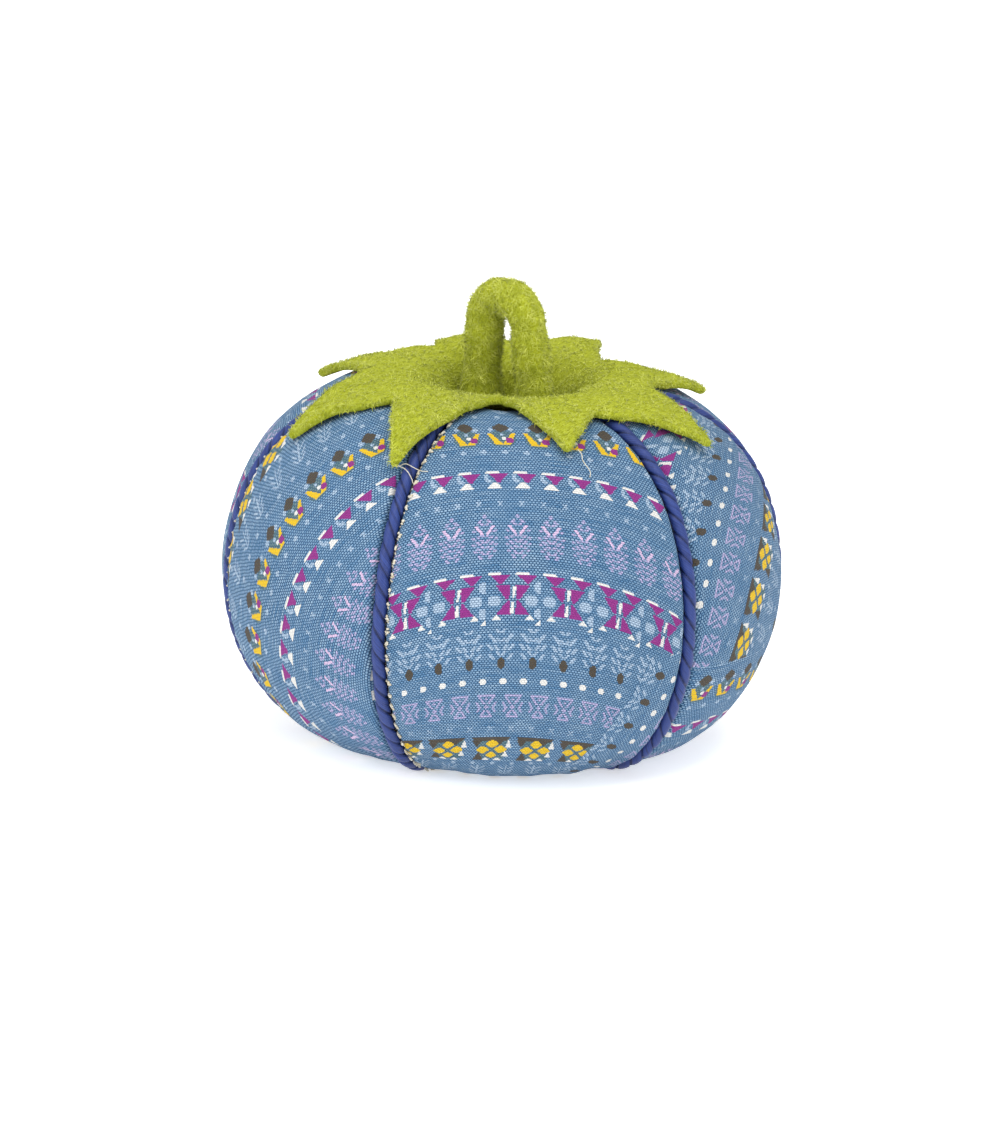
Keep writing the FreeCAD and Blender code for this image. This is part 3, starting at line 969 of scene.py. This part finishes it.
def make_stitches(number):
    """Seam thread with its stitches, and short frayed ends beside the stitches that show."""
    thread = seam_thread_points(number)
    azimuth = CORD_AZIMUTHS[number]
    source = np.random.default_rng(40 + number)
    points = [thread.reshape(-1, 3)]
    faces = tube_faces(*thread.shape[:2])
    count = len(points[0])
    part = np.linspace(0, 1, 4)
    for start in np.arange(FIRST_STITCH + STITCH_PITCH * 0.55, FULL_LENGTH - 14, STITCH_PITCH):
        for _ in range({1: 4, 0: 1}.get(number, 0)):
            length = source.uniform(0.3, 0.9)
            lean = source.uniform(-0.45, 0.45)
            lateral = 1.25 + source.uniform(0, 0.7) + part * length * 0.7
            along = start + source.uniform(-0.32, 0.32) + part * lean * length
            lift = -seam_dip(lateral) + 0.05 + 0.3 * np.sin(np.linspace(0, 2.4, 4))
            radius, height = on_outline(along, lift)
            centres = place(azimuth, radius, np.maximum(height, THREAD_FLOOR))
            centres = centres + lateral[:, None] * level_axis(azimuth)
            hair = tube_points(centres, np.array([0.18, 0.22, 0.18, 0.06]), 4)
            points.append(hair.reshape(-1, 3))
            faces += tube_faces(4, 4, first=count)
            count += len(points[-1])
    obj = new_mesh(f"seam_thread_{number + 1}_stitches", np.concatenate(points), faces)
    obj.data.materials.append(SEWING)
    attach(obj, "cushion")
    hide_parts(f"seam_thread_{number + 1}")


for seam_number in range(6):
    make_stitches(seam_number)

# ---- the calyx ----
TIPS = ((12.1, 37.0), (56.8, 32.7), (103.4, 35.4), (148.0, 32.7), (194.0, 31.5), (238.0, 33.0),
        (281.8, 34.2), (332.3, 36.8))
NOTCHES = ((34.6, 16.6), (74.0, 24.4), (124.0, 22.0), (169.0, 18.8), (214.0, 22.0), (259.0, 19.5),
           (306.0, 22.0), (352.8, 24.6))


def star_reach(azimuth):
    """Plan radius of a star with straight edges: r1 r2 sin(b - a) over r2 sin(b - t) + r1 sin(t - a).

    r1 at a and r2 at b are the tip and the notch on either side of the azimuth t.
    """
    corners = sorted([(angle % 360, reach) for pair in zip(TIPS, NOTCHES) for angle, reach in pair])
    angles = np.array([angle for angle, _ in corners])
    reaches = np.array([reach for _, reach in corners])
    first = (np.searchsorted(angles, azimuth % 360, side="right") - 1) % len(angles)
    second = (first + 1) % len(angles)
    turn_a, turn_b, here = np.radians(angles[first]), np.radians(angles[second]), np.radians(azimuth)
    cross = reaches[first] * reaches[second] * np.sin(turn_b - turn_a)
    run = reaches[second] * np.sin(turn_b - here) + reaches[first] * np.sin(here - turn_a)
    return cross / run


def leaf_edge(azimuth):
    """The star's edge with blunt tips, a wide arch at the first notch and a slightly uneven cut."""
    reach = star_reach(azimuth)
    blurred = []
    for degrees in (1.6, 9.0):
        width = int(degrees / 360 * len(azimuth))
        window = np.hanning(2 * width + 1)[1:-1]
        pad = len(window) // 2
        padded = np.concatenate([reach[-pad:], reach, reach[:pad]])
        blurred.append(np.convolve(padded, window / window.sum(), "valid"))
    fine, arch = blurred
    wide = np.exp(-(((azimuth - 36 + 180) % 360 - 180) / 9.0) ** 2)
    edge = fine * (1 - wide) + arch * wide
    wave = 0.16 * np.sin(np.radians(azimuth) * 23 + 1) + 0.10 * np.sin(np.radians(azimuth) * 57)
    return edge + wave


def make_calyx():
    """Felt star: the outline from the axis out to the star's edge, as a closed skin of felt.

    The skin runs from the middle of the top face outwards, round the cut edge and back underneath.
    """
    columns = 900
    azimuth = np.arange(columns) / columns * 360
    edge = leaf_edge(azimuth)
    flat_reach = np.interp(edge, TOP_TABLE[:, 1], TOP_TABLE[:, 0])
    half = FELT_THICKNESS / 2
    top_rows = 74
    top = np.linspace(0, 1, top_rows) ** 0.8
    turn = np.linspace(90, -90, 9)
    under = np.linspace(1, 0, 30)
    inner = flat_reach - half
    total = inner + FLOOR_RADIUS
    w_top = -FLOOR_RADIUS + top[:, None] * total[None, :]
    w_edge = inner[None, :] + half * np.cos(np.radians(turn))[:, None]
    w_under = -FLOOR_RADIUS + under[:, None] * total[None, :]
    along = np.concatenate([w_top, w_edge[1:-1], w_under])
    level = np.concatenate([np.full_like(w_top, half),
                            np.broadcast_to(half * np.sin(np.radians(turn))[1:-1, None], w_edge[1:-1].shape),
                            np.full_like(w_under, -half)])
    rib = np.radians(azimuth)
    close = np.clip((along - 9) / (flat_reach[None, :] - 9), 0, 1.05)
    tipness = smooth(24, 34, edge)[None, :]
    lift = close ** 2 * (0.3 + 0.75 * tipness * (1 + 0.6 * np.sin(rib * 5 + 0.8))[None, :])
    hump = 2.1 * np.exp(-((azimuth - 241) / 17) ** 2)[None, :] * np.exp(-((along - 14) / 6.0) ** 2)
    hump = hump + 2.0 * np.exp(-((azimuth - 194) / 15) ** 2)[None, :] * smooth(10, 24, along)
    wave = (0.22 * np.sin(rib * 13 + 0.5)[None, :] * close
            + 0.15 * np.sin(along * 0.55 + rib[None, :] * 3) * close)
    matted = (0.05 * np.sin(along * 2.9 + 3 * np.sin(rib * 31)[None, :])
              * np.sin(rib * 67 + along * 0.8) * smooth(2, 8, along + FLOOR_RADIUS))
    offset = 0.15 + half + level + lift + hump + np.abs(wave) + matted * (level > -half + 0.01)
    radius, height = on_outline(along, offset)
    points = place(azimuth[None, :], np.maximum(radius, 0), height)
    body = points[1:-1].reshape(-1, 3)
    poles = np.stack([points[0].mean(axis=0), points[-1].mean(axis=0)])
    obj = new_mesh("felt_calyx_star", np.concatenate([body, poles]), poled_faces(len(points) - 2, columns))
    # painted shade for the felt: full down in the funnel near the axis, gone by 15 mm out
    hollow_weight = 1 - smooth(4, 15, along)
    write_value(obj, "funnel_shade", np.concatenate([hollow_weight[1:-1].ravel(), [1.0, 1.0]]))
    obj.data.materials.append(FELT)
    area = 0.5 * float((edge ** 2).sum()) * TURN / columns
    return obj, points[:top_rows + 4], area


calyx, calyx_top, calyx_area = make_calyx()
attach(calyx, "cushion")
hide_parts("felt_calyx")


# ---- the loop ----
ARCH_RADIUS = 4.6
ARCH_HEIGHT = 67.9
LEG_LEAN = math.radians(6.0)
LEG_FOOT = 53.75


def loop_path(part):
    """Centre line of the hairpin in the XZ plane, from the -X foot over the arch to the +X foot."""
    shoulder = np.array([ARCH_RADIUS * math.cos(LEG_LEAN), ARCH_HEIGHT + ARCH_RADIUS * math.sin(LEG_LEAN)])
    down = np.array([math.sin(LEG_LEAN), -math.cos(LEG_LEAN)])
    leg = (shoulder[1] - LEG_FOOT) / math.cos(LEG_LEAN)
    arc = ARCH_RADIUS * (math.pi - 2 * LEG_LEAN)
    length = part * (2 * leg + arc)
    turn = np.clip((length - leg) / ARCH_RADIUS, 0, math.pi - 2 * LEG_LEAN)
    arch_x = -ARCH_RADIUS * np.cos(turn + LEG_LEAN)
    arch_z = ARCH_HEIGHT + ARCH_RADIUS * np.sin(turn + LEG_LEAN)
    before = np.maximum(leg - length, 0)
    beyond = np.maximum(length - leg - arc, 0)
    x = arch_x + (beyond - before) * down[0]
    z = arch_z + (before + beyond) * down[1]
    heading = turn + LEG_LEAN
    return x, z, heading, length, 2 * leg + arc


def make_loop():
    """Strip of felt rolled to a tube: a spiral profile with its lap outside, carried along the hairpin."""
    rows = 150
    part = np.linspace(0, 1, rows)
    x, z, heading, length, full = loop_path(part)
    turns = np.linspace(0, 1.75 * TURN, 70)
    lap = math.radians(-12)
    thickness = 1.35 * (0.45 + 0.55 * smooth(0, 0.7, turns)) * (0.6 + 0.4 * smooth(0, 0.8, turns[-1] - turns))
    middle = 2.3 - 1.32 * smooth(0.72, 1.35, turns / TURN) - 0.55 * smooth(1.2, 1.75, turns / TURN)
    middle = middle + 0.26 * np.exp(-(turns / 0.5) ** 2)
    outer_side = middle + thickness / 2
    inner_side = np.maximum(middle - thickness / 2, 0.05)
    profile_r = np.concatenate([outer_side, inner_side[::-1]])
    profile_turn = np.concatenate([turns, turns[::-1]]) + lap
    near_foot = np.minimum(length, full - length)
    flare = 1 + 0.22 * np.exp(-(near_foot / 3.2) ** 2)
    lump = 1 + 0.035 * np.sin(length * 0.6 + 0.4) + 0.02 * np.sin(length * 1.7)
    top_swell = 1 + 0.03 * np.exp(-((part - 0.5) / 0.16) ** 2)
    size = flare * lump * top_swell
    twist = 0.35 * np.sin(part * math.pi * 1.2 - 0.5)
    turn = profile_turn[None, :] + twist[:, None]
    reach = profile_r[None, :] * size[:, None]
    matted = 1 + 0.018 * np.sin(turn * 7 + length[:, None] * 2.1) * np.sin(length[:, None] * 3.7 + turn * 3)
    reach = reach * matted
    outward = np.stack([-np.cos(heading), np.zeros(rows), np.sin(heading)], axis=1)
    sideways = np.array([0.0, -1.0, 0.0])
    lean = 0.06 * (z - LEG_FOOT - 3)
    points = (np.stack([x - lean, -0.3 * lean, z], axis=1)[:, None, :]
              + (reach * np.cos(turn))[..., None] * outward[:, None, :]
              + (reach * np.sin(turn))[..., None] * sideways)
    sides = points.shape[1]
    one = np.arange(sides // 2 - 1)
    end_strip = np.stack([one, one + 1, sides - 2 - one, sides - 1 - one], axis=1)
    faces = grid_faces(rows, sides, wrap_columns=True)
    last = end_strip + (rows - 1) * sides
    obj = new_mesh("felt_loop_rolled", points, [faces[:, ::-1], end_strip[:, ::-1], last])
    obj.data.materials.append(FELT)
    return obj, points


loop, loop_points = make_loop()
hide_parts("felt_loop")


def make_hairs(name, roots, normals, count, seed, long=1.15, thick=0.045):
    """Loose fibres: bent ribbons of two faces that start just under the surface and stand off it."""
    source = np.random.default_rng(seed)
    pick = source.integers(0, len(roots), count)
    root = roots[pick] + source.normal(0, 0.06, (count, 3))
    normal = normals[pick]
    sway = source.normal(0, 1, (count, 3))
    sway -= (sway * normal).sum(axis=1, keepdims=True) * normal
    sway /= np.linalg.norm(sway, axis=1, keepdims=True)
    reach = source.uniform(0.35, 1.0, (count, 1)) * long
    stand = source.uniform(0.12, 0.55, (count, 1))
    middle = root + reach * (0.5 * sway * (1 - stand) + 0.55 * stand * normal)
    tip = root + reach * (sway * (1.0 - 0.4 * stand) + (0.75 * stand) * normal)
    width = np.cross(sway, normal) * thick
    points = np.stack([root - 0.1 * normal - width, root - 0.1 * normal + width,
                       middle + width, middle - width, tip + width * 0.3, tip - width * 0.3], axis=1)
    first = np.arange(count)[:, None] * 6
    faces = np.concatenate([first + [0, 1, 2, 3], first + [3, 2, 4, 5]])
    obj = new_mesh(name, points, [faces])
    obj.data.materials.append(FUZZ)
    return obj


def grid_normals(points, wrap):
    """Unit normals of a grid of points, pointing outwards."""
    down = np.gradient(points, axis=0)
    if wrap:
        across = (np.roll(points, -1, axis=1) - np.roll(points, 1, axis=1)) / 2
    else:
        across = np.gradient(points, axis=1)
    normal = np.cross(down, across)
    return normal / np.maximum(np.linalg.norm(normal, axis=2, keepdims=True), 1e-9)


def fuzz_places(points, normals, seed, edge_rows=0):
    """Roots for fibres: points picked by area, with the last rows, at a cut edge, picked more often."""
    source = np.random.default_rng(seed)
    down = np.linalg.norm(np.gradient(points, axis=0), axis=2)
    across = np.linalg.norm(np.gradient(points, axis=1), axis=2)
    weight = down * across
    if edge_rows:
        weight[-edge_rows:] *= 5
    chance = weight.ravel() / weight.sum()
    pick = source.choice(points.shape[0] * points.shape[1], 24000, p=chance)
    return points.reshape(-1, 3)[pick], normals.reshape(-1, 3)[pick]


calyx_normals = grid_normals(calyx_top[2:], wrap=True)
roots, normals = fuzz_places(calyx_top[2:], calyx_normals, 5, edge_rows=5)
calyx_fuzz = make_hairs("felt_calyx_fuzz", roots, normals, 16000, 6)
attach(calyx_fuzz, "cushion")
outer = loop_points[:, :40]
loop_normals = -grid_normals(outer, wrap=False)
roots, normals = fuzz_places(outer, loop_normals, 7)
loop_fuzz = make_hairs("felt_loop_fuzz", roots, normals, 9000, 8, long=1.5)

for piece in (loop, loop_fuzz):
    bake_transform(piece)


def make_loose_threads():
    """Tacking thread ends left at two leaf tips: thin wavy threads lying over the cotton."""
    blocks, faces, count = [], [], 0
    runs = (
        ((11.1, 14.4, 20.2), (33.6, 33.0, 33.4), (1.2, 0.45, 0.2)),
        ((11.6, 15.4, 17.6), (33.2, 34.4, 35.9), (1.2, 0.5, 0.15)),
        ((59.9, 61.1, 62.3), (28.9, 31.7, 33.6), (1.9, 1.2, 0.4)),
    )
    part = np.linspace(0, 1, 26)
    knots = np.linspace(0, 1, 3)
    for azimuths, lengths, lifts in runs:
        azimuth = np.interp(part, knots, azimuths) + 0.35 * np.sin(part * 11)
        along = np.interp(part, knots, lengths) + 0.25 * np.sin(part * 9 + 1)
        lift = np.interp(part, knots, lifts) + 0.25 * np.sin(part * math.pi)
        radius, height = on_outline(along, lift)
        centres = place(azimuth, radius, height)
        thread = tube_points(centres, np.full(len(part), 0.07), 6)
        blocks.append(thread.reshape(-1, 3))
        faces += tube_faces(len(part), 6, first=count)
        count += len(blocks[-1])
    obj = new_mesh("leaf_tip_threads", np.concatenate(blocks), faces)
    obj.data.materials.append(SEWING)
    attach(obj, "cushion")


make_loose_threads()

# ---- carried-over nodes ----
for node, material in (("stuffing_core", STUFFING), ("centre_tie", SEWING)):
    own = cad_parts[node]
    if own.material_slots:
        for own_slot in own.material_slots:
            own_slot.material = material
    else:
        own.data.materials.append(material)


# ---- floor, light and camera ----

FLOOR_REACH = 3000.0


def make_floor():
    """Plain pale floor."""
    corners = ((-1, -1, 0), (1, -1, 0), (1, 1, 0), (-1, 1, 0))
    floor = new_mesh("studio_floor", np.array(corners) * FLOOR_REACH, [[[0, 1, 2, 3]]], is_smooth=False)
    material, tree, shader = new_material("studio_white", Roughness=0.9, Specular_IOR_Level=0.1,
                                          Emission_Color=(1.0, 1.0, 1.0, 1.0), Emission_Strength=0.5)
    cloud = noise(tree, on_body(tree), 3.0)
    colour = mix_colour(tree, cloud, (0.93, 0.93, 0.93, 1), (0.95, 0.95, 0.95, 1))
    feed(tree, shader.inputs["Base Color"], colour)
    floor.data.materials.append(material)


def add_light(name, position, size, power):
    """Large soft lamp that faces the cushion."""
    lamp = bpy.data.lights.new(name, "AREA")
    lamp.shape = "DISK"
    lamp.size = size
    lamp.energy = power
    obj = bpy.data.objects.new(name, lamp)
    obj.location = position
    obj.rotation_euler = (Vector((0, 0, 0.035)) - Vector(position)).to_track_quat("-Z", "Y").to_euler()
    bpy.context.scene.collection.objects.link(obj)


def add_camera():
    """Camera that looks down a little from the front right, and leans with the object."""
    azimuth, elevation, distance = math.radians(40), math.radians(15), 1.3
    target = Vector((-0.00025, -0.00021, 0.02817))
    away = Vector((math.sin(azimuth) * math.cos(elevation), -math.cos(azimuth) * math.cos(elevation),
                   math.sin(elevation)))
    camera = bpy.data.cameras.new("studio_camera")
    camera.lens = 256.7
    camera.sensor_width = 36
    obj = bpy.data.objects.new("studio_camera", camera)
    obj.location = target + distance * away
    turned = (-away).to_track_quat("-Z", "Y") @ Quaternion((0, 0, 1), math.radians(2.2))
    obj.rotation_euler = turned.to_euler()
    bpy.context.scene.collection.objects.link(obj)
    bpy.context.scene.camera = obj


make_floor()
add_light("lamp_above", (0.25, -0.15, 1.1), 0.9, 9.0)
add_light("lamp_left", (-0.35, -1.1, 0.55), 0.8, 6.0)
add_light("lamp_right", (1.2, -0.4, 0.5), 0.8, 4.0)
add_camera()
world = bpy.data.worlds.new("studio_world")
world.use_nodes = True
world.node_tree.nodes["Background"].inputs[0].default_value = (1, 1, 1, 1)
world.node_tree.nodes["Background"].inputs[1].default_value = 0.8
bpy.context.scene.world = world
bpy.context.scene.view_settings.view_transform = "Standard"
